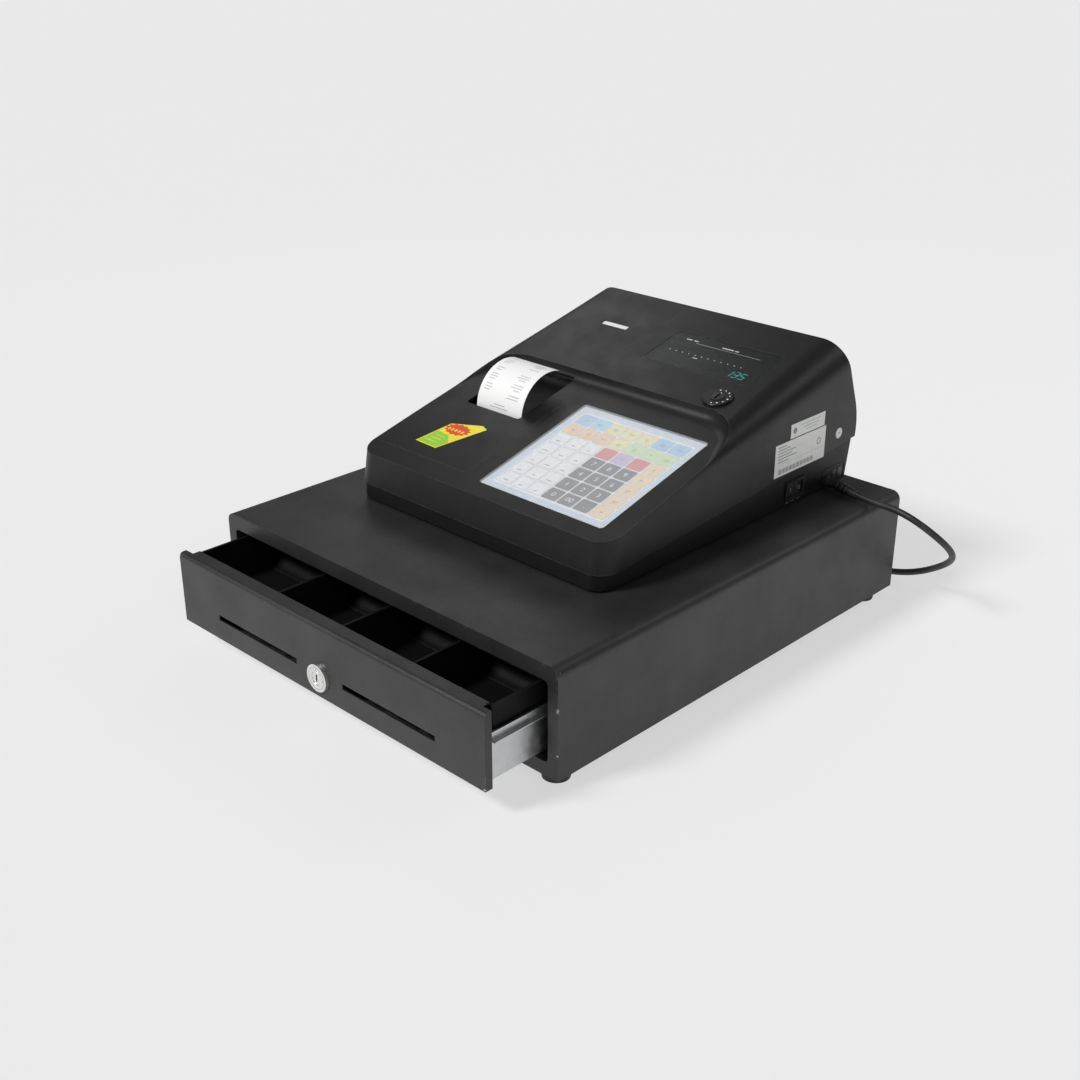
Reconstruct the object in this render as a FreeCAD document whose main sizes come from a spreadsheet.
import FreeCAD, Part
import math
import os
import re
import Sketcher
from types import SimpleNamespace
from FreeCAD import Placement, Rotation, Vector

# Electronic cash register on a steel cash drawer.
# Every piece is laid out in the cabinet's own axes: x = 0 on its centre line, y = 0 on its front
# face with +y to the rear, and z = 0 on the table.  origin_y moves the finished pieces so that the
# part's origin is the middle of its footprint.  The drawer is stored drawer_open millimetres out.

SIZES = {
    # whole part
    "origin_y": 194.1,
    "foot_height": 8.0,
    "foot_radius": 12.5,
    "foot_x": 184.5,
    "foot_front": 15.0,
    "foot_rear": 425.0,
    # cabinet
    "cab_width": 400.0,
    "cab_depth": 450.0,
    "cab_top": 102.0,
    "steel": 1.5,
    "cab_round": 8.0,
    "mouth_half": 190.0,
    "mouth_low": 20.0,
    "mouth_high": 88.5,
    "mouth_round": 4.0,
    "mouth_return": 10.0,
    "pan_flange": 18.0,
    "rail_inner": 187.5,
    "rail_low": 44.0,
    "rail_high": 60.0,
    "rail_gauge": 1.2,
    "rail_rear": 430.0,
    "rail_gap": 3.7,
    "front_roller_y": 18.0,
    "front_roller_z": 52.2,
    "front_roller_radius": 6.0,
    "rear_roller_y": 380.0,
    "rear_roller_z": 52.0,
    "rear_roller_radius": 6.4,
    "roller_pin": 1.5,
    "roller_bore": 1.55,
    "screw_head": 3.2,
    "screw_rise": 1.2,
    "screw_x": 170.0,
    "screw_low": 20.0,
    "screw_high": 90.0,
    "spring_x": -60.0,
    "spring_z": 45.0,
    "spring_radius": 7.0,
    "spring_wire": 1.4,
    # drawer
    "drawer_open": 60.0,
    "front_half": 187.0,
    "front_low": 22.5,
    "front_high": 86.6,
    "front_lip": 14.0,
    "front_side_flange": 7.0,
    "front_lip_inset": 10.0,
    "front_round": 4.0,
    "slot_inner": 28.5,
    "slot_outer": 134.5,
    "slot_low": 41.0,
    "slot_high": 46.0,
    "tray_half": 182.5,
    "tray_low": 26.0,
    "tray_high": 65.5,
    "tray_gauge": 1.2,
    "tray_lip": 31.0,
    "tray_rear": 390.0,
    "ledge_width": 6.3,
    "ledge_gauge": 4.0,
    "strip_low": 58.4,
    "strip_gauge": 0.8,
    "strip_shelf": 4.7,
    "till_half": 180.0,
    "till_low": 48.0,
    "till_high": 84.0,
    "till_wall": 2.5,
    "till_front": 14.5,
    "till_rear": 386.0,
    "coin_depth": 75.0,
    "divider_one": -70.0,
    "divider_two": 12.0,
    "divider_three": 94.5,
    "clip_axis_y": 376.0,
    "clip_axis_z": 78.0,
    "clip_reach": 84.0,
    "clip_drop": 15.0,
    "lock_z": 40.6,
    "lock_flange": 11.75,
    "lock_proud": 3.0,
    "lock_body": 7.0,
    "lock_plug": 5.5,
    "running_gap": 0.05,
    "lock_depth": 26.0,
    # drawer latch
    "latch_low": 30.0,
    "latch_high": 33.0,
    "latch_pivot_x": 22.0,
    "latch_pivot_y": 411.0,
    "latch_release": 22.0,
    "latch_pin": 2.0,
    "coil_front": 427.0,
    "coil_rear": 442.0,
    "coil_winding": 8.0,
    "flange_gauge": 1.5,
    # register housing
    "base_low": 104.0,
    "base_half": 145.5,
    "base_front": 104.0,
    "base_rear": 446.5,
    "base_rake": 0.1667,
    "base_corner": 16.0,
    "wall": 2.5,
    "body_half": 148.5,
    "body_front": 108.0,
    "body_corner": 18.0,
    "parting_zero": 109.5,
    "parting_slope": 0.0755,
    "deck_zero": 115.9,
    "crown_zero": 125.0,
    "deck_slope": 0.264,
    "crown_front": 285.0,
    "crown_rear": 421.0,
    "rear_break_y": 444.2,
    "rear_break_z": 176.0,
    "rear_bulge_y": 447.8,
    "rear_bulge_z": 160.0,
    "rear_foot_y": 447.5,
    "front_rake": 4.5,
    "window_fit": 0.2,
    "cove_radius": 11.0,
    "cove_corner": 45.0,
    "side_round_front": 9.0,
    "side_round_rear": 26.0,
    "crown_half": 149.0,
    "seam_x": -30.0,
    "seam_gap": 0.3,
    "lid_left": -143.0,
    "lid_front": 128.0,
    "lid_nose": 2.0,
    "lid_axis_z": 191.3,
    "chute_left": -116.0,
    "chute_right": -48.5,
    "chute_front": 210.0,
    "panel_x": 58.95,
    "panel_y": 190.0,
    "panel_half_x": 69.55,
    "panel_half_y": 68.25,
    "window_x": 53.25,
    "window_y": 353.5,
    "window_half_x": 60.25,
    "window_half_y": 27.4,
    "dial_x": 101.0,
    "dial_y": 300.8,
    "dial_radius": 13.5,
    "dial_neck": 10.0,
    "rotor_radius": 6.0,
    "rear_window_x": 55.0,
    "rear_window_z": 207.0,
    "rear_window_half_x": 50.0,
    "rear_window_half_z": 14.0,
    "switch_y": 360.0,
    "switch_z": 117.0,
    "rocker_throw": 5.0,
    "board_left": -35.0,
    "board_right": 135.0,
    "board_front": 125.0,
    "board_rear": 250.0,
    "board_low": 112.0,
    "board_gauge": 1.6,
    "gland_y": 410.0,
    "gland_z": 108.5,
    # printer
    "paper_left": -107.0,
    "paper_width": 57.0,
    "roll_radius": 25.0,
    "roll_core": 8.0,
    "roll_y": 330.0,
    "roll_z": 166.5,
    "trough_radius": 33.0,
    "paper_gauge": 0.2,
    "curl_radius": 38.0,
    "platen_radius": 7.0,
    "platen_y": 222.0,
    "platen_z": 157.0,
    "tear_depth": 3.9,
    "tear_gauge": 0.8,
    "tooth_pitch": 2.0,
    "label_gauge": 0.2,
    # mains lead
    "cord_radius": 3.0,
    "gland_boot": 12.5,
    "coil_x": 50.0,
    "coil_y": 512.0,
    "coil_mid": 33.0,
    "coil_layers": 2.0,
    "coil_columns": 3.0,
    "cord_lie": 3.05,
    "plug_y": 557.0,
}

doc = FreeCAD.newDocument("CashRegister")
sheet = doc.addObject("Spreadsheet::Sheet", "Size")
for row, (alias, number) in enumerate(SIZES.items(), start=1):
    sheet.set("A%d" % row, alias)
    sheet.set("B%d" % row, repr(number))
    sheet.setAlias("B%d" % row, alias)
doc.recompute()
size = SimpleNamespace(**{alias: float(sheet.get(alias)) for alias in SIZES})

nodes = []


# ---------------------------------------------------------------- helpers

def linked(text):
    """The expression with every size name pointing at its cell."""
    return re.sub(r"[a-z_]+", lambda m: "Size." + m[0] if m[0] in SIZES else m[0], str(text))


def bind(obj, prop, text):
    obj.setExpression(prop, linked(text))


def node(obj, label):
    """Register a finished sub-part; its label names its file."""
    obj.Label = label
    nodes.append(obj)
    return obj


def pair(side, low, high):
    """A span on one side of the centre line, mirrored when side is -1."""
    return (low, high) if side > 0 else ("-(%s)" % high, "-(%s)" % low)


def box(name, x_span, y_span, z_span):
    """Part::Box between two values on each axis."""
    obj = doc.addObject("Part::Box", name)
    for prop, axis, span in zip(("Length", "Width", "Height"), "xyz", (x_span, y_span, z_span)):
        shift = " - origin_y" if axis == "y" else ""
        bind(obj, prop, "(%s) - (%s)" % (span[1], span[0]))
        bind(obj, "Placement.Base." + axis, "(%s)%s" % (span[0], shift))
    return obj


TURN = {"x": Rotation(Vector(0, 1, 0), 90), "y": Rotation(Vector(1, 0, 0), -90), "z": Rotation()}


def rod(name, axis, start, end, centre, radius):
    """Part::Cylinder along an axis; centre gives its other two coordinates in x, y, z order."""
    obj = doc.addObject("Part::Cylinder", name)
    obj.Placement = Placement(Vector(), TURN[axis])
    bind(obj, "Radius", radius)
    bind(obj, "Height", "(%s) - (%s)" % (end, start))
    place = dict(zip([a for a in "xyz" if a != axis], centre))
    place[axis] = start
    place["y"] = "(%s) - origin_y" % place["y"]
    for letter, text in place.items():
        bind(obj, "Placement.Base." + letter, text)
    return obj


def cut(name, base, tools):
    """Part::Cut of one or more tools from a base."""
    obj = doc.addObject("Part::Cut", name)
    obj.Base = base
    obj.Tool = tools[0] if len(tools) == 1 else fuse(name + "_tools", tools)
    return obj


def fuse(name, shapes):
    obj = doc.addObject("Part::MultiFuse", name)
    obj.Shapes = shapes
    obj.Refine = True
    return obj


def group(name, members):
    """Separate equal solids that share one node."""
    obj = doc.addObject("Part::Compound", name)
    obj.Links = members
    return obj


def feature(name, shape):
    """A shape made with Part's functions in cabinet axes, moved to the part's origin."""
    obj = doc.addObject("Part::Feature", name)
    obj.Shape = shape
    obj.Placement = Placement(Vector(0, -size.origin_y, 0), Rotation()).multiply(shape.Placement)
    return obj


def body(name):
    obj = doc.addObject("PartDesign::Body", name)
    bind(obj, "Placement.Base.y", "-origin_y")
    return obj


def sketch(owner, plane, offset="0"):
    """A sketch parallel to one of the body's own origin planes."""
    obj = owner.newObject("Sketcher::SketchObject", owner.Name + "_sketch")
    support = [f for f in owner.Origin.OriginFeatures if f.Role == plane][0]
    obj.AttachmentSupport = [(support, "")]
    obj.MapMode = "FlatFace"
    bind(obj, "AttachmentOffset.Base.z", offset)
    return obj


def outline(drawing, corners):
    """A closed polygon whose corners are bound to the sheet."""
    count = len(corners)
    first = drawing.GeometryCount
    spots = [Vector(10 * math.cos(k * 2 * math.pi / count), 10 * math.sin(k * 2 * math.pi / count), 0)
             for k in range(count)]
    for k in range(count):
        drawing.addGeometry(Part.LineSegment(spots[k], spots[(k + 1) % count]), False)
    for k, corner in enumerate(corners):
        line = first + k
        join("Coincident", drawing, line, 2, first + (k + 1) % count, 1)
        for kind, value, text in (("DistanceX", spots[k].x, corner[0]),
                                  ("DistanceY", spots[k].y, corner[1])):
            index = join(kind, drawing, -1, 1, line, 1, value)
            bind(drawing, "Constraints[%d]" % index, text)


def rectangle(drawing, x_span, y_span):
    outline(drawing, [(x_span[0], y_span[0]), (x_span[1], y_span[0]),
                      (x_span[1], y_span[1]), (x_span[0], y_span[1])])


def circle(drawing, x, y, radius):
    line = drawing.GeometryCount
    drawing.addGeometry(Part.Circle(Vector(5, 5, 0), Vector(0, 0, 1), 3), False)
    for kind, text in (("DistanceX", x), ("DistanceY", y)):
        bind(drawing, "Constraints[%d]" % join(kind, drawing, -1, 1, line, 3, 5.0), text)
    bind(drawing, "Constraints[%d]" % join("Radius", drawing, line, 3.0), radius)


def join(kind, drawing, *terms):
    return drawing.addConstraint(Sketcher.Constraint(kind, *terms))


def pad(owner, drawing, length, backwards=False):
    obj = owner.newObject("PartDesign::Pad", owner.Name + "_pad")
    obj.Profile = drawing
    obj.Reversed = backwards
    bind(obj, "Length", length)
    doc.recompute()
    return obj


def pocket(owner, drawing, length, backwards=False):
    """A pocket that must take material away."""
    before = owner.Shape.Volume
    obj = owner.newObject("PartDesign::Pocket", owner.Name + "_pocket")
    obj.Profile = drawing
    obj.Reversed = backwards
    bind(obj, "Length", length)
    doc.recompute()
    if owner.Shape.Volume >= before - 1e-3:
        raise RuntimeError(owner.Name + ": a pocket cuts nothing")
    return obj


def edges(shape, chosen):
    """Names of the edges whose middle point and direction pass the test."""
    names = []
    for number, edge in enumerate(shape.Edges, start=1):
        middle = edge.valueAt((edge.FirstParameter + edge.LastParameter) / 2)
        along = edge.tangentAt((edge.FirstParameter + edge.LastParameter) / 2)
        if chosen(middle, along):
            names.append("Edge%d" % number)
    return names


def fillet(owner, radius, chosen):
    base = owner.Tip
    names = edges(base.Shape, chosen)
    if not names:
        raise RuntimeError(owner.Name + ": no edge to round")
    obj = owner.newObject("PartDesign::Fillet", owner.Name + "_fillet")
    obj.Base = (base, names)
    bind(obj, "Radius", radius)
    doc.recompute()
    return obj


def near(value, target, slack=0.05):
    return abs(value - target) < slack


# ---------------------------------------------------------------- cash drawer cabinet

def cabinet_cover():
    """Folded wrap: top and both sides in one sheet, with rounded long edges."""
    owner = body("cabinet_cover")
    drawing = sketch(owner, "XZ_Plane")
    outer, inner = "cab_width / 2", "cab_width / 2 - steel"
    outline(drawing, [("-" + outer, "foot_height"), ("-(%s) + steel" % outer, "foot_height"),
                      ("-(%s) + steel" % outer, "cab_top - steel"), (inner, "cab_top - steel"),
                      (inner, "foot_height"), (outer, "foot_height"),
                      (outer, "cab_top"), ("-" + outer, "cab_top")])
    pad(owner, drawing, "cab_depth", backwards=True)
    half = size.cab_width / 2
    fillet(owner, "cab_round", lambda m, t: abs(t.y) > 0.99 and near(m.z, size.cab_top)
           and near(abs(m.x), half))
    fillet(owner, "cab_round - steel", lambda m, t: abs(t.y) > 0.99 and near(abs(m.x), half - size.steel)
           and near(m.z, size.cab_top - size.steel))
    return node(owner, "cabinet_cover")


def inner_panel(name):
    """A panel that closes one end of the wrap."""
    owner = body(name)
    drawing = sketch(owner, "XZ_Plane", "0" if name == "cabinet_front_frame" else "steel - cab_depth")
    half = "cab_width / 2 - steel"
    rectangle(drawing, ("-(%s)" % half, half), ("foot_height", "cab_top - steel"))
    pad(owner, drawing, "steel", backwards=True)
    fillet(owner, "cab_round - steel", lambda m, t: abs(t.y) > 0.99
           and near(m.z, size.cab_top - size.steel))
    return owner


def cabinet_front_frame():
    """Face frame around the drawer mouth, turned inwards all round the opening."""
    owner = inner_panel("cabinet_front_frame")
    drawing = sketch(owner, "XZ_Plane")
    rectangle(drawing, ("-mouth_half - steel", "mouth_half + steel"),
              ("mouth_low - steel", "mouth_high + steel"))
    pad(owner, drawing, "mouth_return", backwards=True)
    opening = sketch(owner, "XZ_Plane")
    rectangle(opening, ("-mouth_half", "mouth_half"), ("mouth_low", "mouth_high"))
    pocket(owner, opening, "mouth_return")
    fillet(owner, "mouth_round", lambda m, t: abs(t.y) > 0.99 and near(abs(m.x), size.mouth_half)
           and (near(m.z, size.mouth_low) or near(m.z, size.mouth_high)))
    return node(owner, "cabinet_front_frame")


def cabinet_base():
    """Floor pan with turned-up sides."""
    owner = body("cabinet_base")
    drawing = sketch(owner, "XZ_Plane", "-steel")
    outer, inner = "cab_width / 2 - steel", "cab_width / 2 - 2 * steel"
    low, floor, top = "foot_height", "foot_height + steel", "foot_height + pan_flange"
    outline(drawing, [("-(%s)" % outer, low), (outer, low), (outer, top), (inner, top), (inner, floor),
                      ("-(%s)" % inner, floor), ("-(%s)" % inner, top), ("-(%s)" % outer, top)])
    pad(owner, drawing, "cab_depth - 2 * steel", backwards=True)
    return node(owner, "cabinet_base")


def cabinet_feet():
    """Four rubber feet, each a short cylinder with a chamfered tread."""
    feet = []
    for sign in ("", "-"):
        for place in ("foot_front", "foot_rear"):
            owner = doc.addObject("Part::Cone", "foot")
            bind(owner, "Radius1", "foot_radius - 1.5")
            bind(owner, "Radius2", "foot_radius")
            bind(owner, "Height", "foot_height")
            bind(owner, "Placement.Base.x", sign + "foot_x")
            bind(owner, "Placement.Base.y", place + " - origin_y")
            feet.append(owner)
    return node(group("feet", feet), "cabinet_feet")


def cabinet_rails():
    """A C channel on each side wall, with the pin of the front roller."""
    rails = []
    for side in (1, -1):
        outer = box("rail", pair(side, "rail_inner", "cab_width / 2 - steel"),
                    ("mouth_return", "rail_rear"), ("rail_low", "rail_high"))
        hollow = box("rail_hollow", pair(side, "rail_inner - 1", "cab_width / 2 - steel - rail_gauge"),
                     ("mouth_return - 1", "rail_rear + 1"),
                     ("rail_low + rail_gauge", "rail_high - rail_gauge"))
        start, end = pair(side, "rail_inner - rail_gap", "cab_width / 2 - steel - rail_gauge / 2")
        pin = rod("rail_pin", "x", start, end, ("front_roller_y", "front_roller_z"), "roller_pin")
        rails.append(fuse("rail_side", [cut("channel", outer, [hollow]), pin]))
    return node(group("rails", rails), "cabinet_rails")


def roller_pair(label, inner, outer, place_y, place_z, radius):
    """Two equal nylon rollers on one cross line."""
    rollers = []
    for side in (1, -1):
        start, end = pair(side, inner, outer)
        tyre = rod("roller", "x", start, end, (place_y, place_z), radius)
        bore = rod("roller_bore_tool", "x", start + " - 1", end + " + 1", (place_y, place_z), "roller_bore")
        rollers.append(cut("roller_wheel", tyre, [bore]))
    return node(group(label, rollers), label)


def cabinet_screws():
    """Six pan-head screws that hold the back panel."""
    screws = []
    for x in ("-screw_x", "0", "screw_x"):
        for z in ("screw_low", "screw_high"):
            screws.append(rod("screw", "y", "cab_depth", "cab_depth + screw_rise", (x, z), "screw_head"))
    return node(group("screws", screws), "cabinet_screws")


def latch_bracket():
    """Steel shelf on the floor pan that carries the latch pivot and the coil."""
    x, y = "latch_pivot_x", "latch_pivot_y"
    x_span = (x + " - 9", x + " + 42")
    plate = ("latch_low - 3", "latch_low - 1")
    rear = "cab_depth - 4"
    shelf = box("latch_shelf", x_span, (y + " + 3", rear), plate)
    ear = box("latch_ear", (x + " - 7", x + " + 7"), (y + " - 7", y + " + 4"), plate)
    leg = box("latch_leg", x_span, (rear + " - 2", rear), ("foot_height + steel", "latch_low - 1"))
    pin = rod("latch_pin", "z", "latch_low - 1.5", "latch_high + 2", (x, y), "latch_pin")
    return node(fuse("latch_frame", [shelf, ear, leg, pin]), "latch_bracket")


def latch_coil():
    """Electromagnet: wound bobbin with an iron core facing the hook's tail."""
    centre = ("latch_pivot_x + 33", "latch_high + 4.5")
    flange = "coil_winding + 0.4"
    winding = rod("winding", "y", "coil_front", "coil_rear", centre, "coil_winding")
    near_flange = rod("bobbin_flange", "y", "coil_front - flange_gauge", "coil_front", centre, flange)
    far_flange = rod("bobbin_back", "y", "coil_rear", "coil_rear + flange_gauge", centre, flange)
    core = rod("coil_core", "y", "coil_front - 2.5", "coil_rear + 2.5", centre, "3")
    return node(fuse("coil", [winding, near_flange, far_flange, core]), "latch_coil")


def latch_hook():
    """Flat hook that holds the drawer's striker; stored swung clear of it."""
    px, py = size.latch_pivot_x, size.latch_pivot_y
    corners = [(-19.4, -12.5), (-19.4, -8.4), (-15.2, -8.4), (-15.2, -3), (-5, 5), (4, 5),
               (37, -1), (37, -6), (4, -5), (-8, -5), (-14, -12.5)]
    wire = Part.makePolygon([Vector(x, y, 0) for x, y in corners + corners[:1]])
    plate = Part.Face(wire).extrude(Vector(0, 0, size.latch_high - size.latch_low))
    plate = plate.cut(Part.makeCylinder(size.latch_pin + size.running_gap, 20, Vector(0, 0, -5)))
    obj = doc.addObject("Part::Feature", "latch_hook")
    obj.Shape = plate
    obj.Placement = Placement(Vector(px, py - size.origin_y, size.latch_low),
                              Rotation(Vector(0, 0, 1), size.latch_release))
    return node(obj, "latch_hook")


def ejector_spring():
    """Drawer ejector spring, shown at the length it has when the drawer is shut."""
    centre = ("spring_x", "spring_z")
    barrel = rod("spring_outside", "y", "tray_rear + 1", "cab_depth - steel", centre, "spring_radius")
    middle = rod("spring_inside", "y", "tray_rear", "cab_depth", centre, "spring_radius - spring_wire")
    return node(cut("spring", barrel, [middle]), "ejector_spring")


# ---------------------------------------------------------------- drawer

def shut(text):
    """A place on the shut drawer, moved out to where the drawer is stored."""
    return "(%s) - drawer_open" % text


def drawer_front():
    """Folded front: a plate with a deep top lip, shallow side flanges, two slots and a lock hole."""
    owner = body("drawer_front")
    face = "drawer_open"
    drawing = sketch(owner, "XZ_Plane", face)
    rectangle(drawing, ("-front_half", "front_half"), ("front_low", "front_high"))
    pad(owner, drawing, "front_lip", backwards=True)
    fillet(owner, "front_round", lambda m, t: abs(t.x) > 0.99 and near(m.z, size.front_high)
           and near(m.y, -size.drawer_open))
    hollow = sketch(owner, "XZ_Plane", face + " - steel")
    rectangle(hollow, ("-front_half + steel", "front_half - steel"),
              ("front_low + steel", "front_high - steel"))
    pocket(owner, hollow, "front_lip")
    for side in (1, -1):
        notch = sketch(owner, "XZ_Plane", face + " - front_side_flange")
        rectangle(notch, pair(side, "front_half - front_lip_inset", "front_half + 1"),
                  ("front_low - 1", "front_high + 1"))
        pocket(owner, notch, "front_lip")
        slot = sketch(owner, "XZ_Plane", face)
        rectangle(slot, pair(side, "slot_inner", "slot_outer"), ("slot_low", "slot_high"))
        pocket(owner, slot, "steel * 2")
    hole = sketch(owner, "XZ_Plane", face)
    circle(hole, "0", "lock_z", "lock_body")
    pocket(owner, hole, "steel * 2")
    return node(owner, "drawer_front")


def drawer_tray():
    """Galvanised tray: folded sides and floor, rear wall, low front lip and two till ledges."""
    owner = body("drawer_tray")
    front = "drawer_open - steel"
    length = "tray_rear - steel"
    drawing = sketch(owner, "XZ_Plane", front)
    half, inner = "tray_half", "tray_half - tray_gauge"
    floor = "tray_low + tray_gauge"
    ledge, under = "till_low", "till_low - ledge_gauge"
    tip = "tray_half - tray_gauge - ledge_width"
    outline(drawing, [("-" + half, "tray_low"), (half, "tray_low"), (half, "tray_high"),
                      (inner, "tray_high"), (inner, ledge), (tip, ledge), (tip, under),
                      (inner, under), (inner, floor),
                      ("-(%s)" % inner, floor), ("-(%s)" % inner, under), ("-(%s)" % tip, under),
                      ("-(%s)" % tip, ledge), ("-(%s)" % inner, ledge),
                      ("-(%s)" % inner, "tray_high"), ("-" + half, "tray_high")])
    pad(owner, drawing, length, backwards=True)
    back = sketch(owner, "XZ_Plane", "drawer_open - tray_rear + tray_gauge")
    rectangle(back, ("-" + half, half), ("tray_low", "tray_high"))
    pad(owner, back, "tray_gauge", backwards=True)
    lip = sketch(owner, "XZ_Plane", front)
    rectangle(lip, ("-" + half, half), ("tray_low", "tray_lip"))
    pad(owner, lip, "tray_gauge", backwards=True)
    return node(owner, "drawer_tray")


def drawer_rails():
    """Angle strip on each side of the tray, with the pin of the rear roller."""
    rails = []
    for side in (1, -1):
        run = (shut("mouth_return"), shut("tray_rear"))
        web = box("strip_web", pair(side, "tray_half", "tray_half + strip_gauge"), run,
                  ("strip_low", "tray_high"))
        shelf = box("strip_shelf", pair(side, "tray_half", "tray_half + strip_shelf"), run,
                    ("strip_low", "strip_low + 1"))
        tail = box("strip_tail", pair(side, "tray_half", "tray_half + strip_gauge"),
                   (shut("rear_roller_y - 10"), shut("tray_rear")), ("rear_roller_z - 6", "strip_low + 0.6"))
        start, end = pair(side, "tray_half + strip_gauge / 2", "rail_inner + 7.5")
        pin = rod("strip_pin", "x", start, end, (shut("rear_roller_y"), "rear_roller_z"), "roller_pin")
        rails.append(fuse("strip", [web, shelf, tail, pin]))
    return node(group("strips", rails), "drawer_rails")


def latch_striker():
    """T-shaped striker on the tray's rear wall."""
    z_span = ("latch_low", "latch_high")
    plate = box("striker_plate", ("-10", "10"), (shut("tray_rear"), shut("tray_rear + 1.5")),
                ("latch_low - 2", "latch_low + 12"))
    neck = box("striker_neck", ("-2", "2"), (shut("tray_rear"), shut("tray_rear + 14")), z_span)
    head = box("striker_head", ("-6", "6"), (shut("tray_rear + 13"), shut("tray_rear + 18")), z_span)
    return node(fuse("striker", [plate, neck, head]), "latch_striker")


def till_columns():
    """Inner x span of each of the four columns of the till."""
    middles = ["-till_half + till_wall / 2", "divider_one", "divider_two", "divider_three",
               "till_half - till_wall / 2"]
    return [("(%s) + till_wall / 2" % low, "(%s) - till_wall / 2" % high)
            for low, high in zip(middles, middles[1:])]


def till_floor():
    """Floor of the moulded till."""
    return node(box("till_floor", ("-till_half", "till_half"), (shut("till_front"), shut("till_rear")),
                    ("till_low", "till_low + till_wall")), "till_floor")


def till_plate(name, middle):
    """Long wall of the till, centred on an x place."""
    return box(name, (middle + " - till_wall / 2", middle + " + till_wall / 2"),
               (shut("till_front + till_wall"), shut("till_rear - till_wall")),
               ("till_low + till_wall", "till_high"))


def till_long_walls():
    """Both outer side walls of the till and the three plates between its columns, drilled for the
    clip rod."""
    outer = ("-till_half + till_wall / 2", "till_half - till_wall / 2")
    walls = [till_plate("side_wall", middle) for middle in outer]
    for middle in ("divider_one", "divider_two", "divider_three"):
        hole = rod("divider_hole", "x", middle + " - till_wall", middle + " + till_wall",
                   (shut("clip_axis_y"), "clip_axis_z"), "roller_bore")
        walls.append(cut("divider", till_plate("divider_plate", middle), [hole]))
    return node(group("long_walls", walls), "till_long_walls")


def till_cross_walls():
    """Front and rear walls of the till, and two short walls across each column: one between its
    coin cups and one before its note bay."""
    full = ("-till_half", "till_half")
    height_span = ("till_low + till_wall", "till_high")
    walls = [box("end_wall", full, (shut(start), shut(start + " + till_wall")), height_span)
             for start in ("till_front", "till_rear - till_wall")]
    for row in ("till_front + till_wall + coin_depth", "till_front + 2 * till_wall + 2 * coin_depth"):
        for column in till_columns():
            walls.append(box("cross_wall", column, (shut(row), shut(row + " + till_wall")), height_span))
    return node(group("cross_walls", walls), "till_cross_walls")


def clip_rod():
    """Steel rod through the till walls, on which the note clips turn."""
    start, end = "-till_half + till_wall + 0.2", "till_half - till_wall - 0.2"
    centre = (shut("clip_axis_y"), "clip_axis_z")
    return node(rod("clip_rod", "x", start, end, centre, "roller_pin"), "clip_rod")


def note_clip(number):
    """Note clip: a barrel on the rod, a flat arm and a round paddle bar, sloping down to the notes."""
    walls = [-size.till_half, size.divider_one, size.divider_two, size.divider_three, size.till_half]
    middle = (walls[number - 1] + walls[number]) / 2
    barrel_half, paddle_half, arm_half, reach = 15, 28, 7, size.clip_reach
    across = Vector(1, 0, 0)
    barrel = Part.makeCylinder(4, 2 * barrel_half, Vector(-barrel_half, 0, 0), across)
    arm = Part.makeBox(2 * arm_half, reach - 2, 1.6, Vector(-arm_half, -reach, -0.8))
    paddle = Part.makeCylinder(3, 2 * paddle_half, Vector(-paddle_half, -reach, 0), across)
    bore = Part.makeCylinder(size.roller_bore, 40, Vector(-20, 0, 0), across)
    obj = doc.addObject("Part::Feature", "note_clip")
    obj.Shape = barrel.fuse([arm, paddle]).removeSplitter().cut(bore)
    axis_y = size.clip_axis_y - size.drawer_open - size.origin_y
    obj.Placement = Placement(Vector(middle, axis_y, size.clip_axis_z),
                              Rotation(Vector(1, 0, 0), size.clip_drop))
    return node(obj, "note_clip_%d" % number)


def lock():
    """Cam lock: flanged barrel, turning plug with a keyway, fixing nut and cam."""
    seat = "-drawer_open"
    face, tail = seat + " - lock_proud", seat + " + lock_depth"
    centre = ("0", "lock_z")
    flange = rod("lock_flange_disc", "y", face, seat, centre, "lock_flange")
    sleeve = rod("lock_sleeve", "y", seat, tail, centre, "lock_body")
    bore = rod("lock_bore", "y", face + " - 1", tail + " + 1", centre, "lock_plug")
    node(cut("barrel", fuse("barrel_solid", [flange, sleeve]), [bore]), "lock_barrel")
    plug = rod("plug_solid", "y", face + " + 0.3", tail + " + 1", centre, "lock_plug - running_gap")
    keyway = box("keyway", ("-0.9", "0.9"), (face, face + " + 9"), ("lock_z - 3.2", "lock_z + 3.2"))
    node(cut("plug", plug, [keyway]), "lock_plug")
    ring = rod("nut_solid", "y", seat + " + steel", seat + " + steel + 3.5", centre, "lock_body + 2")
    hole = rod("nut_hole", "y", seat, seat + " + steel + 5", centre, "lock_body")
    node(cut("nut", ring, [hole]), "lock_nut")
    cam = box("cam_plate", ("-4", "4"), (tail + " + 1", tail + " + 3"), ("lock_z - 12", "lock_z + 4"))
    node(cam, "lock_cam")


# ---------------------------------------------------------------- register housing

STRETCH = math.hypot(1, size.deck_slope)
TILT = math.degrees(math.atan(size.deck_slope))
DECK = "deck_zero"
CROWN = "crown_zero"


def height(level, y):
    """Height of the keyboard deck or of the crown above it at a distance from the front."""
    return getattr(size, level) + size.deck_slope * y


def parting(y):
    """Height of the joint between the two housing halves."""
    return size.parting_zero + size.parting_slope * y


def on_deck(level, x, y, drop=0.0):
    """Placement with its own z square to the sloping deck, drop millimetres under its surface."""
    turn = Rotation(Vector(1, 0, 0), TILT)
    return Placement(Vector(x, y, height(level, y)) - turn.multVec(Vector(0, 0, drop)), turn)


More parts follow.
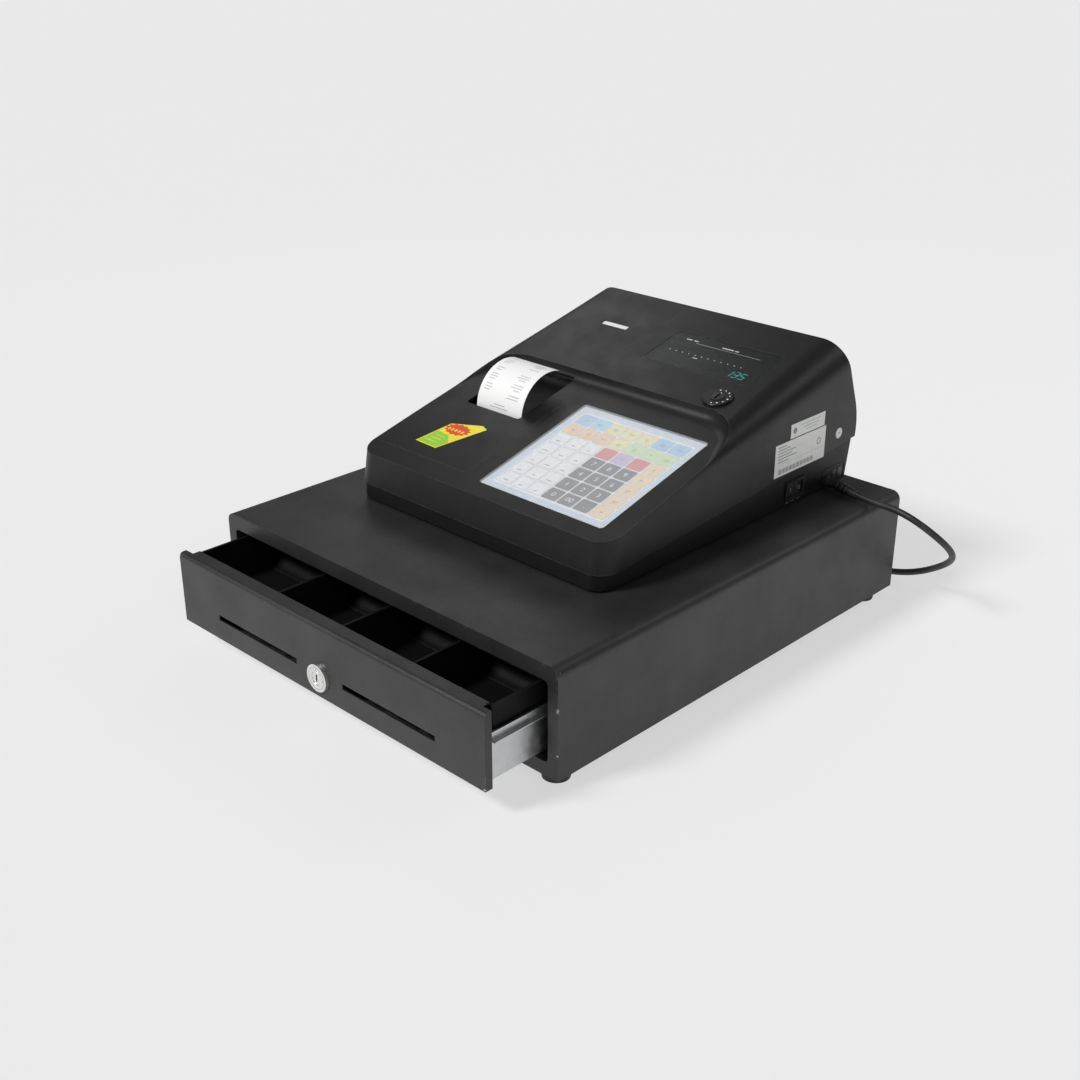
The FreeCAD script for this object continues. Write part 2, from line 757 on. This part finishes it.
def deck_plate(level, x, y, half_x, half_y, drop, thick, round_corner=0.0):
    """Flat plate lying in the sloping deck; drop is from the deck to its top face."""
    plate = Part.makeBox(2 * half_x, 2 * half_y, thick, Vector(-half_x, -half_y, 0))
    if round_corner:
        upright = [e for e in plate.Edges if abs(e.tangentAt(0).z) > 0.99]
        plate = plate.makeFillet(round_corner, upright)
    plate.Placement = on_deck(level, x, y, drop + thick)
    return plate


def valley(inset):
    """Space above the keyboard deck, with a rounded rear wall that flares out at both sides."""
    centre_x, centre_y = size.crown_half - size.cove_corner, size.crown_front - size.cove_corner
    radius = size.cove_corner + inset
    flare = math.radians(20)
    tail_length, outer_x = 45, 200
    ends = []
    for side in (1, -1):
        def on_arc(angle):
            across = side * (centre_x + radius * math.cos(angle))
            return Vector(across, centre_y + radius * math.sin(angle), 0)

        start, middle, stop = on_arc(math.pi / 2), on_arc((math.pi / 2 + flare) / 2), on_arc(flare)
        tail = stop + Vector(side * math.sin(flare), -math.cos(flare), 0) * tail_length
        ends.append((start, middle, stop, tail, Vector(side * outer_x, 0, 0)))
    right, left = ends
    wire = Part.Wire([
        Part.LineSegment(left[0], right[0]).toShape(),
        Part.Arc(right[0], right[1], right[2]).toShape(),
        Part.LineSegment(right[2], right[3]).toShape(),
        Part.LineSegment(right[3], right[4]).toShape(),
        Part.LineSegment(right[4], left[4]).toShape(),
        Part.LineSegment(left[4], left[3]).toShape(),
        Part.LineSegment(left[3], left[2]).toShape(),
        Part.Arc(left[2], left[1], left[0]).toShape(),
    ])
    column = Part.Face(wire).extrude(Vector(0, 0, 400))
    under = Part.makeBox(600, 600, 300, Vector(-300, -300, -300))
    under.Placement = on_deck(DECK, 0, 200, inset)
    space = column.cut(under)
    foot = []
    for edge in space.Edges:
        points = [v.Point for v in edge.Vertexes]
        low = all(abs(p.z - height(DECK, p.y) + inset * STRETCH) < 0.01 for p in points)
        if low and min(p.y for p in points) > tail_limit(ends) - 0.01:
            foot.append(edge)
    return space.makeFillet(size.cove_radius + inset, foot)


def tail_limit(ends):
    """Front limit of the rear wall's rounded foot."""
    return min(ends[0][3].y, ends[1][3].y)


def corner_trim(half, radius, foot, top):
    """Leaning column that rounds both front corners of the housing in plan."""
    front, rear = foot.y, foot.y + 500
    plan = Part.makePlane(2 * half, rear - front, Vector(-half, front, foot.z - 1))
    column = plan.extrude(Vector(0, top.y - foot.y, top.z - foot.z) * 4)
    leaning = [e for e in column.Edges if e.BoundBox.ZLength > 100 and e.BoundBox.YMin < front + 1]
    return column.makeFillet(radius, leaning)


def upper_form(inset):
    """Outside of the upper housing, or its hollow when inset is the wall."""
    half = size.body_half - inset
    crown = -inset * STRETCH
    rear = size.crown_rear - inset
    front_low, front_high = size.body_front - size.front_rake + inset, size.body_front + inset
    skirt = 12.0 if inset else 0.0
    lean = (front_high - front_low) / (height(DECK, size.body_front) - parting(front_low))
    rise = height(CROWN, 0) + crown - parting(front_low)
    top_y = (front_low + lean * rise) / (1 - lean * size.deck_slope)
    front_top = Vector(0, top_y, height(CROWN, top_y) + crown)
    front_foot = Vector(0, front_low - lean * skirt, parting(front_low) - skirt)
    rear_top = Vector(0, rear, height(CROWN, rear) + crown)
    rear_break = Vector(0, size.rear_break_y - inset, size.rear_break_z)
    rear_bulge = Vector(0, size.rear_bulge_y - inset, size.rear_bulge_z)
    rear_foot = Vector(0, size.rear_foot_y - inset, parting(size.rear_foot_y) - skirt)
    wire = Part.Wire([
        Part.LineSegment(front_foot, front_top).toShape(),
        Part.LineSegment(front_top, rear_top).toShape(),
        Part.LineSegment(rear_top, rear_break).toShape(),
        Part.Arc(rear_break, rear_bulge, rear_foot).toShape(),
        Part.LineSegment(rear_foot, front_foot).toShape(),
    ])
    form = Part.Face(wire)
    form.translate(Vector(-half, 0, 0))
    form = form.extrude(Vector(2 * half, 0, 0))
    for side in (1, -1):
        edge = crown_edge(form, side * half, crown)
        radii = [size.side_round_front - inset, size.side_round_rear - inset]
        if edge.valueAt(edge.FirstParameter).y > edge.valueAt(edge.LastParameter).y:
            radii.reverse()
        form = form.makeFillet(radii[0], radii[1], [edge])
    corners = corner_trim(half, size.body_corner - inset, front_foot, front_top)
    return form.common(corners).cut(valley(inset))


def crown_edge(form, x, crown):
    """Long edge along one side of the crown, crown millimetres above its outside."""
    for edge in form.Edges:
        start, stop = edge.Vertexes[0].Point, edge.Vertexes[-1].Point
        on_crown = near(start.z, height(CROWN, start.y) + crown, 0.1)
        if edge.Length > 200 and near(start.x, x) and near(stop.x, x) and on_crown:
            return edge
    raise RuntimeError("upper housing has no crown edge")


def rear_spot(x, z, drop):
    """Placement on the flat upper part of the rear face: its z outwards, its y up the face."""
    fall = Vector(0, size.rear_break_y - size.crown_rear,
                  size.rear_break_z - height(CROWN, size.crown_rear))
    up = (fall * -1).normalize()
    outward = Vector(0, -fall.z, fall.y).normalize()
    y = size.crown_rear + (height(CROWN, size.crown_rear) - z) * fall.y / -fall.z
    turn = Rotation(Vector(-1, 0, 0), up, outward, "ZXY")
    return Placement(Vector(x, y, z) - outward * drop, turn)


def rear_plate(x, z, half_x, half_y, drop, thick):
    plate = Part.makeBox(2 * half_x, 2 * half_y, thick, Vector(-half_x, -half_y, 0))
    plate.Placement = rear_spot(x, z, drop + thick)
    return plate


def upright_edges(shape, y):
    """Upright edges of a block that lie at one distance from the front."""
    return [e for e in shape.Edges if abs(e.tangentAt(0).z) > 0.99 and near(e.Vertexes[0].Point.y, y)]


def lid_zone(gap):
    """Region of the housing that belongs to the printer cover; gap shrinks it."""
    left, right, front = size.lid_left + gap, size.seam_x - gap, size.lid_front + gap
    deep = Part.makeBox(right - left, 400 - front, 300, Vector(left, front, 50))
    deep = deep.makeFillet(6, upright_edges(deep, front))
    high = Part.makeBox(right - left, 80, 100, Vector(left, 399, size.lid_axis_z))
    return deep.fuse(high)


def lid_axis():
    """Centre of the printer cover's hinge nose, just under the rear face."""
    return rear_spot(0, size.lid_axis_z, size.lid_nose).Base


def lid_hinge(radius, left, right):
    axis = lid_axis()
    return Part.makeCylinder(radius, right - left, Vector(left, axis.y, axis.z), Vector(1, 0, 0))


def chute(gap):
    """Opening in the printer cover that the receipt comes out of."""
    width = size.chute_right - size.chute_left - 2 * gap
    block = Part.makeBox(width, size.crown_front - size.chute_front - 2, 200,
                         Vector(size.chute_left + gap, size.chute_front, 100))
    return block.makeFillet(3, upright_edges(block, size.chute_front))


def upper_housing(shell):
    """Upper half of the register's body, with its openings and the printer cover's hinge lug."""
    fit = size.window_fit
    windows = [
        deck_plate(DECK, size.panel_x, size.panel_y, size.panel_half_x + fit, size.panel_half_y + fit,
                   -5, 30, 3.2),
        deck_plate(CROWN, size.window_x, size.window_y, size.window_half_x + fit, size.window_half_y + fit,
                   -5, 20, 4.2),
        rear_plate(size.rear_window_x, size.rear_window_z, size.rear_window_half_x + fit,
                   size.rear_window_half_z + fit, -5, 20),
    ]
    dial_hole = Part.makeCylinder(size.dial_neck + 0.1, 20)
    dial_hole.Placement = on_deck(CROWN, size.dial_x, size.dial_y, 10)
    housing = shell.cut([lid_zone(-size.seam_gap)] + windows + [dial_hole])
    nose_room = lid_hinge(size.lid_nose + 0.4, size.lid_left - size.seam_gap, size.seam_x + size.seam_gap)
    housing = housing.cut(nose_room)
    axis = lid_axis()
    lug = Part.makeBox(4, 9, 12, Vector(size.seam_x + 1, axis.y - 7, axis.z - 8))
    lug = lug.common(upper_form(size.wall - 0.5))
    housing = housing.fuse(lug).cut(lid_hinge(size.roller_bore, size.seam_x - 5, size.seam_x + 6))
    return node(feature("upper_housing", housing), "upper_housing")


def printer_cover(shell):
    """Lid over the printer: deck, cove and crown in one moulding, turning on a round nose at the rear."""
    nose = lid_hinge(size.lid_nose, size.lid_left, size.seam_x - size.seam_gap)
    skin = shell.common(lid_zone(0)).common(Part.makeBox(300, 500, 400, Vector(size.lid_left, 0, 0)))
    pin = lid_hinge(size.roller_pin, size.seam_x - 4, size.seam_x + 4)
    lid = skin.fuse([nose, pin]).removeSplitter().cut(chute(0))
    return node(feature("printer_cover", lid), "printer_cover")


def tub(inset, front, rear, floor, rise):
    """Solid block of the lower half's plan, raked at the rear and cut off level with the parting."""
    half = size.base_half - inset
    block = Part.makeBox(2 * half, rear - front, 80, Vector(-half, front, floor))
    block = block.makeFillet(size.base_corner - 1.5 * inset, upright_edges(block, front))
    over = Part.makeBox(600, 900, 200, Vector(-300, -300, 0))
    over.Placement = Placement(Vector(0, 0, size.parting_zero + rise),
                               Rotation(Vector(1, 0, 0), math.degrees(math.atan(size.parting_slope))))
    behind = Part.makeBox(600, 100, 400, Vector(-300, 0, -200))
    behind.Placement = Placement(Vector(0, rear, parting(rear)),
                                 Rotation(Vector(1, 0, 0), -math.degrees(math.atan(size.base_rake))))
    return block.cut([over, behind])


def lower_housing():
    """Lower half: a tray with a lip at the front and sides that stands up inside the upper half."""
    wall = size.wall
    outside = tub(0, size.base_front, size.base_rear, size.base_low, -0.3)
    lip = tub(0, size.base_front + 3, size.base_rear - 2 * wall, size.base_low, 3)
    hollow = tub(wall, size.base_front + 3 + wall, size.base_rear - wall, size.base_low + wall, 60)
    face = size.base_half
    switch = Part.makeBox(20, 23.4, 14.4, Vector(face - 10, size.switch_y - 11.7, size.switch_z - 7.2))
    gland = Part.makeCylinder(5.5, 20, Vector(face - 10, size.gland_y, size.gland_z), Vector(1, 0, 0))
    tray = outside.fuse(lip).removeSplitter().cut([hollow, switch, gland])
    return node(feature("lower_housing", tray), "lower_housing")


def register_feet():
    """Four thin rubber pads between the register and the cabinet."""
    pads = [rod("pad", "z", "cab_top", "base_low", (x, y), "8")
            for x in ("-base_half + 18", "base_half - 18") for y in ("base_front + 18", "base_rear - 22")]
    return node(group("pads", pads), "register_feet")


def keyboard():
    """Touch window flush in the deck, the printed key sheet under it and the sensor board below."""
    for label, spread, drop, thick in (("touch_window", 0, 0.2, 1.8), ("key_sheet", -0.5, 2.0, 0.3),
                                       ("touch_sensor", 3, 2.8, 2.0)):
        layer = deck_plate(DECK, size.panel_x, size.panel_y, size.panel_half_x + spread,
                           size.panel_half_y + spread, drop, thick, 3)
        node(feature(label, layer), label)


def display():
    """Operator display: smoked window flush in the crown, with its tube and board underneath."""
    x, y = size.window_x, size.window_y
    window = deck_plate(CROWN, x, y, size.window_half_x, size.window_half_y, 0.15, 2.0, 4)
    node(feature("display_window", window), "display_window")
    tube = deck_plate(CROWN, x, y, size.window_half_x - 6, 14, 3.0, 7)
    board = deck_plate(CROWN, x, y, size.window_half_x + 2, 24, 10.0, 1.6)
    node(feature("display_module", tube.fuse(board)), "display_module")


def customer_display():
    """Customer display in the rear face: window and tube module."""
    x, z = size.rear_window_x, size.rear_window_z
    half_x, half_z = size.rear_window_half_x, size.rear_window_half_z
    node(feature("customer_window", rear_plate(x, z, half_x, half_z, 0.3, 2.0)), "customer_window")
    tube = rear_plate(x, z, half_x - 5, half_z - 2, 3.2, 6)
    board = rear_plate(x, z, half_x - 1, half_z + 1, 9.2, 1.6)
    node(feature("customer_module", tube.fuse(board)), "customer_module")


def mode_switch():
    """Key switch: flanged ring, turning rotor with a key slot, and the contact body under the skin."""
    def turned(radius, low, high):
        return Part.makeCylinder(radius, high - low, Vector(0, 0, low))

    bore = size.rotor_radius + size.running_gap
    ring = turned(size.dial_radius, 0.05, 2.0).fuse(turned(size.dial_neck, -3.5, 1)).removeSplitter()
    ring = ring.makeChamfer(0.6, [e for e in ring.Edges if near(e.BoundBox.ZMin, 2.0) and e.Length > 70])
    ring = ring.cut(turned(bore, -10, 5))
    rotor = turned(size.rotor_radius, -9, 2.6)
    rotor = rotor.cut(Part.makeBox(2, 9, 6, Vector(-1, -4.5, -3)))
    shell = turned(12, -26, -3.55).cut(turned(bore, -9.2, 0))
    for label, shape in (("mode_switch_ring", ring), ("mode_switch_rotor", rotor),
                         ("mode_switch_body", shell)):
        shape.Placement = on_deck(CROWN, size.dial_x, size.dial_y)
        node(feature(label, shape), label)


def printer_frame():
    """Printer chassis: two side plates, the trough that the roll drops into, and the paper guide."""
    left, right, gauge = size.paper_left - 5, size.paper_left + size.paper_width + 5, 2.0
    trough_z = size.roll_z - size.roll_radius - 0.3 + size.trough_radius
    side = [(212, 106.5), (367, 106.5), (367, trough_z), (300, trough_z), (262, 163), (212, 163)]
    plates = []
    for x in (left, right - gauge):
        wire = Part.makePolygon([Vector(x, y, z) for y, z in side + side[:1]])
        plates.append(Part.Face(wire).extrude(Vector(gauge, 0, 0)))
    start = Vector(left, size.roll_y, trough_z)
    across = Vector(1, 0, 0)
    trough = Part.makeCylinder(size.trough_radius + gauge, right - left, start, across)
    trough = trough.cut(Part.makeCylinder(size.trough_radius, right - left, start, across))
    trough = trough.cut([Part.makeBox(200, 200, 100, Vector(-150, 230, trough_z)),
                         Part.makeBox(200, 100, 100, Vector(-150, size.roll_y - 100, 150))])
    guide = Part.makeBox(right - left, 56, gauge, Vector(left, 240, 146))
    tie = Part.makeBox(right - left, 30, gauge, Vector(left, 215, 106.5))
    seat = Part.makeBox(right - left, 18, gauge, Vector(left, 213, 142))
    axle = Part.makeCylinder(2.05, 200, Vector(-200, size.platen_y, size.platen_z), across)
    frame = plates[0].fuse([plates[1], trough, guide, tie, seat]).removeSplitter().cut(axle)
    node(feature("printer_frame", frame), "printer_frame")
    head = Part.makeBox(size.paper_width + 2, 14, 5.2, Vector(size.paper_left - 1, 215, 144))
    node(feature("print_head", head), "print_head")


def platen_and_roll():
    """Rubber platen on its steel shaft, and the paper roll on a hollow core."""
    sleeve = rod("platen_sleeve", "x", "paper_left - 1", "paper_left + paper_width + 1",
                 ("platen_y", "platen_z"), "platen_radius")
    shaft = rod("platen_shaft", "x", "paper_left - 8", "paper_left + paper_width + 8",
                ("platen_y", "platen_z"), "2")
    node(fuse("platen", [sleeve, shaft]), "platen_roller")
    outside = rod("roll_outside", "x", "paper_left", "paper_left + paper_width",
                  ("roll_y", "roll_z"), "roll_radius")
    core = rod("roll_hole", "x", "paper_left - 1", "paper_left + paper_width + 1",
               ("roll_y", "roll_z"), "roll_core")
    node(cut("roll", outside, [core]), "paper_roll")


def band(points_in, points_out):
    """Closed profile between two matching open runs of edges."""
    start = Part.LineSegment(points_in[0].Vertexes[0].Point, points_out[0].Vertexes[0].Point).toShape()
    stop = Part.LineSegment(points_in[-1].Vertexes[-1].Point, points_out[-1].Vertexes[-1].Point).toShape()
    return Part.Face(Part.Wire(Part.__sortEdges__(points_in + points_out + [start, stop])))


def receipt_path(offset):
    """Paper's run in the y-z plane: roll, under the platen, up past the tear bar and over in a curl."""
    def spot(y, z):
        return Vector(size.paper_left, y, z)

    platen, roll = Vector(0, size.platen_y, size.platen_z), Vector(0, size.roll_y, size.roll_z)
    near_radius = size.platen_radius + 0.1 + offset
    far_radius = size.roll_radius + 0.35 - offset
    gap = roll - platen
    bearing = math.atan2(gap.z, gap.y)
    lean = bearing + math.asin((near_radius + far_radius) / gap.Length)
    nip = (platen.y + near_radius * math.sin(lean), platen.z - near_radius * math.cos(lean))
    leave = (roll.y - far_radius * math.sin(lean), roll.z + far_radius * math.cos(lean))
    front = (platen.y - near_radius, platen.z)
    curl_z = size.platen_z + 10
    curl_radius = size.curl_radius + offset
    curl_y = front[0] + curl_radius
    edges_out = [Part.LineSegment(spot(*leave), spot(*nip)).toShape()]
    middle_angle = (lean - math.pi / 2 - math.pi) / 2
    middle = (platen.y + near_radius * math.cos(middle_angle),
              platen.z + near_radius * math.sin(middle_angle))
    edges_out.append(Part.Arc(spot(*nip), spot(*middle), spot(*front)).toShape())
    edges_out.append(Part.LineSegment(spot(*front), spot(front[0], curl_z)).toShape())
    ends = [math.pi, math.radians(128), math.radians(74)]
    arc = [spot(curl_y + curl_radius * math.cos(a), curl_z + curl_radius * math.sin(a)) for a in ends]
    edges_out.append(Part.Arc(*arc).toShape())
    return edges_out


def receipt():
    """Printed receipt: one thin strip from the roll to its curled free end."""
    profile = band(receipt_path(0.0), receipt_path(size.paper_gauge))
    return node(feature("receipt", profile.extrude(Vector(size.paper_width, 0, 0))), "receipt")


def tear_bar():
    """Steel tear bar fixed under the front edge of the receipt opening, with fine teeth."""
    x, y, pitch = size.chute_left + 2, size.chute_front - size.tear_gauge, size.tooth_pitch
    count = int((size.chute_right - size.chute_left - 4) / pitch)
    low, tip = -3.0, 0.8
    profile = [(x, low)]
    for k in range(count):
        profile += [(x + k * pitch, 0.0), (x + (k + 0.5) * pitch, tip)]
    profile += [(x + count * pitch, 0.0), (x + count * pitch, low)]
    top = height(DECK, size.chute_front) - size.tear_depth
    wire = Part.makePolygon([Vector(px, y, top + pz) for px, pz in profile + profile[:1]])
    bar = Part.Face(wire).extrude(Vector(0, size.tear_gauge, 0))
    return node(feature("tear_bar", bar), "tear_bar")


def promo_sticker():
    """Plain five-sided sticker on the printer cover."""
    corners = [(-110.8, 143), (-84, 142), (-62, 184), (-70, 187), (-100.5, 177)]
    turn = on_deck(DECK, 0, 0, 0)
    flat = [turn.multVec(Vector(x, y * STRETCH, 0.05)) for x, y in corners]
    wire = Part.makePolygon(flat + flat[:1])
    outwards = turn.Rotation.multVec(Vector(0, 0, 0.15))
    return node(feature("promo_sticker", Part.Face(wire).extrude(outwards)), "promo_sticker")


def rating_labels():
    """Three labels on the right-hand side of the housing: two plates and a round seal."""
    skin = ("body_half", "body_half + label_gauge")
    big = box("label_big", skin, ("323", "398"), ("137", "167"))
    small = box("label_small", skin, ("344", "395"), ("168", "181"))
    dot = rod("label_dot", "x", skin[0], skin[1], ("420", "153.5"), "5")
    return node(group("labels", [big, small, dot]), "rating_labels")


def electronics():
    """Main board with its parts on four stands, and the mains transformer."""
    pieces = [box("board", ("board_left", "board_right"), ("board_front", "board_rear"),
                  ("board_low", "board_low + board_gauge"))]
    chips = ((0, 150, 26, 26, 3), (60, 150, 18, 10, 3), (60, 180, 34, 12, 4),
             (100, 215, 12, 12, 12), (-20, 210, 40, 9, 8), (40, 225, 30, 8, 9))
    for x, y, long, wide, tall in chips:
        pieces.append(box("chip", (x, x + long), (y, y + wide),
                          ("board_low + board_gauge", "board_low + board_gauge + %d" % tall)))
    for x in ("board_left + 4", "board_right - 4"):
        for y in ("board_front + 4", "board_rear - 4"):
            pieces.append(rod("stand", "z", "base_low + wall", "board_low", (x, y), "3"))
    node(fuse("electronics", pieces), "main_board")
    floor = "base_low + wall"
    core = box("core", ("40", "100"), ("335", "385"), (floor, floor + " + 40"))
    winding = box("coil_former", ("48", "92"), ("322", "398"), (floor + " + 7", floor + " + 33"))
    node(fuse("mains", [core, winding]), "transformer")


def power_switch():
    """Rocker switch in the right-hand side: frame with a flange, and the rocker on two stub pins."""
    y, z, face = size.switch_y, size.switch_z, size.base_half
    flange = Part.makeBox(1.5, 28, 18, Vector(face, y - 14, z - 9))
    barrel = Part.makeBox(18, 23, 14, Vector(face - 17.5, y - 11.5, z - 7))
    cavity = Part.makeBox(18, 21.4, 12, Vector(face - 12, y - 10.7, z - 6))
    pivot = Vector(face - 5, y, z)
    bore = Part.makeCylinder(1.05, 13.6, Vector(pivot.x, y, z - 6.8))
    node(feature("power_switch_frame", flange.fuse(barrel).cut([cavity, bore])), "power_switch_frame")
    profile = [(-3.5, -4), (1.5, -9), (5, -9.4), (6, -3), (5.6, 0), (6, 3), (5, 9.4), (1.5, 9), (-3.5, 4)]
    wire = Part.makePolygon([Vector(dx, dy, -5.6) for dx, dy in profile + profile[:1]])
    rocker = Part.Face(wire).extrude(Vector(0, 0, 11.2))
    rocker = rocker.fuse(Part.makeCylinder(1.0, 13.2, Vector(0, 0, -6.6)))
    obj = doc.addObject("Part::Feature", "power_rocker")
    obj.Shape = rocker
    obj.Placement = Placement(pivot - Vector(0, size.origin_y, 0),
                              Rotation(Vector(0, 0, 1), -size.rocker_throw))
    node(obj, "power_rocker")


# ---------------------------------------------------------------- mains lead

CORD = [
    (158, 410, 108.5),
    (172, 408, 107.0),
    (188, 405.5, 106.2),
    (205, 403, 106.4),
    (222, 401, 107.2),
    (238, 399.5, 105.5),
    (252, 402.5, 99),
    (262, 412, 88),
    (266, 426, 75),
    (263, 442, 61),
    (253, 457, 47),
    (237, 467, 33),
    (217, 472, 20),
    (195, 475, 10.5),
    (171, 476.5, 5),
    (147, 476.5, 3.2),
    (122, 476, 3.1),
    (104, 475, 4),
    (90, 474, 7),
    (73, 473, 9.1),
]


def cord_gland():
    """Moulded gland that grips the lead where it leaves the housing."""
    face, y, z, collar_gauge = size.base_half, size.gland_y, size.gland_z, 2.5
    across = Vector(1, 0, 0)
    stem = Part.makeCylinder(5.4, 8, Vector(face - 6, y, z), across)
    collar = Part.makeCylinder(5.6, collar_gauge, Vector(face, y, z), across)
    boot_start = Vector(face + collar_gauge, y, z)
    boot = Part.makeCone(4.6, 3.4, size.gland_boot - collar_gauge, boot_start, across)
    return node(feature("cord_gland", stem.fuse([collar, boot])), "cord_gland")


def tube(label, route, radius):
    """Round lead: straight runs joined by arcs as large as the runs allow."""
    points = [Vector(*p) for p in route]
    pieces = []
    start = points[0]
    smallest = 1e9
    for before, corner, after in zip(points, points[1:], points[2:]):
        arrive, depart = corner - before, after - corner
        turn = arrive.getAngle(depart)
        reach = 0.45 * min(arrive.Length, depart.Length)
        bend = reach / math.tan(turn / 2)
        smallest = min(smallest, bend)
        first = corner - arrive.normalize() * reach
        last = corner + depart.normalize() * reach
        inward = (first + last) * 0.5 - corner
        to_centre = math.hypot(bend, reach)
        middle = corner + inward.normalize() * (to_centre - bend)
        pieces.append(Part.LineSegment(start, first).toShape())
        pieces.append(Part.Arc(first, middle, last).toShape())
        start = last
    pieces.append(Part.LineSegment(start, points[-1]).toShape())
    wire = Part.Wire(pieces)
    length = wire.Length
    ring = Part.Wire(Part.Circle(points[0], points[1] - points[0], radius).toShape())
    solid = wire.makePipeShell([ring], True, False)
    expected = math.pi * radius * radius * length
    print("%s: length %.0f mm, smallest bend radius %.0f mm, volume ratio %.4f"
          % (label, length, smallest, solid.Volume / expected))
    return node(feature(label, solid), label)


def cord_coil():
    """Outer shape of the coiled part of the lead: a flat ring on the table."""
    x, y, middle, radius = size.coil_x, size.coil_y, size.coil_mid, size.cord_radius
    half, rise = radius * size.coil_columns, 2 * radius * size.coil_layers
    outside = Part.makeCylinder(middle + half, rise, Vector(x, y, 0))
    inside = Part.makeCylinder(middle - half, rise + 2, Vector(x, y, -1))
    ring = outside.cut(inside)
    ring = ring.makeFillet(radius * 0.9, [e for e in ring.Edges if e.Length > 100])
    return node(feature("cord_coil", ring), "cord_coil")


def cord_tail():
    """Short straight end of the lead between the coil and the plug."""
    end = "plug_y"
    start = "coil_y + sqrt((coil_mid + cord_radius * coil_columns)^2 - coil_mid^2)"
    return node(rod("tail", "y", start, end, ("coil_x - coil_mid", "cord_lie"), "cord_radius"), "cord_tail")


def mains_plug():
    """Moulded plug lying behind the cabinet: grip body and three flat pins."""
    x, y, z = size.coil_x - size.coil_mid, size.plug_y, size.cord_lie
    sleeve = Part.makeCone(3.2, 5.0, 16, Vector(x, y, z + 4), Vector(0, 1, 0))
    sleeve = sleeve.common(Part.makeBox(60, 60, 40, Vector(x - 30, y - 5, 0)))
    body_block = Part.makeBox(30, 24, 16, Vector(x - 15, y + 14, 0))
    body_block = body_block.makeFillet(4, [e for e in body_block.Edges if abs(e.tangentAt(0).y) > 0.9])
    pins = [Part.makeBox(6.3, 17, 1.6, Vector(x - 3.15 + dx, y + 38, z + 5 + dz))
            for dx, dz in ((-7, 0), (7, 0), (0, -4))]
    entry = Part.makeCylinder(size.cord_radius + 0.05, 3, Vector(x, y, z), Vector(0, 1, 0))
    return node(feature("mains_plug", body_block.fuse([sleeve, entry] + pins)), "mains_plug")


cabinet_cover()
cabinet_front_frame()
cabinet_base()
node(inner_panel("cabinet_back"), "cabinet_back")
cabinet_feet()
cabinet_rails()
roller_pair("front_rollers", "rail_inner - rail_gap + 0.1", "rail_inner - 0.4",
            "front_roller_y", "front_roller_z", "front_roller_radius")
cabinet_screws()
latch_bracket()
latch_coil()
latch_hook()
ejector_spring()
drawer_front()
drawer_tray()
drawer_rails()
roller_pair("rear_rollers", "rail_inner + 1.5", "rail_inner + 7",
            shut("rear_roller_y"), "rear_roller_z", "rear_roller_radius")
latch_striker()
till_floor()
till_long_walls()
till_cross_walls()
clip_rod()
for number in range(1, 5):
    note_clip(number)
lock()

housing_shell = upper_form(0).cut(upper_form(size.wall))
lower_housing()
upper_housing(housing_shell)
printer_cover(housing_shell)
register_feet()
keyboard()
display()
customer_display()
mode_switch()
printer_frame()
platen_and_roll()
receipt()
tear_bar()
promo_sticker()
rating_labels()
electronics()
power_switch()
cord_gland()
tube("power_cord", CORD, size.cord_radius)
cord_coil()
cord_tail()
mains_plug()


# ---------------------------------------------------------------- check and write

doc.recompute()
for obj in doc.Objects:
    if "Invalid" in obj.State or "Error" in obj.State:
        raise RuntimeError("%s is %s" % (obj.Name, obj.State))
for obj in nodes:
    if obj.Shape.isNull() or not obj.Shape.isValid() or not obj.Shape.Solids:
        raise RuntimeError(obj.Label + " has no valid solid")
os.makedirs("parts", exist_ok=True)
for obj in nodes:
    obj.Shape.exportStep("parts/%s.step" % obj.Label)
    bounds = obj.Shape.BoundBox
    print("%-22s solids %2d  volume %10.1f  x %7.1f %7.1f  y %7.1f %7.1f  z %6.1f %6.1f"
          % (obj.Label, len(obj.Shape.Solids), obj.Shape.Volume, bounds.XMin, bounds.XMax,
             bounds.YMin + size.origin_y, bounds.YMax + size.origin_y, bounds.ZMin, bounds.ZMax))
print(len(nodes), "sub-parts")
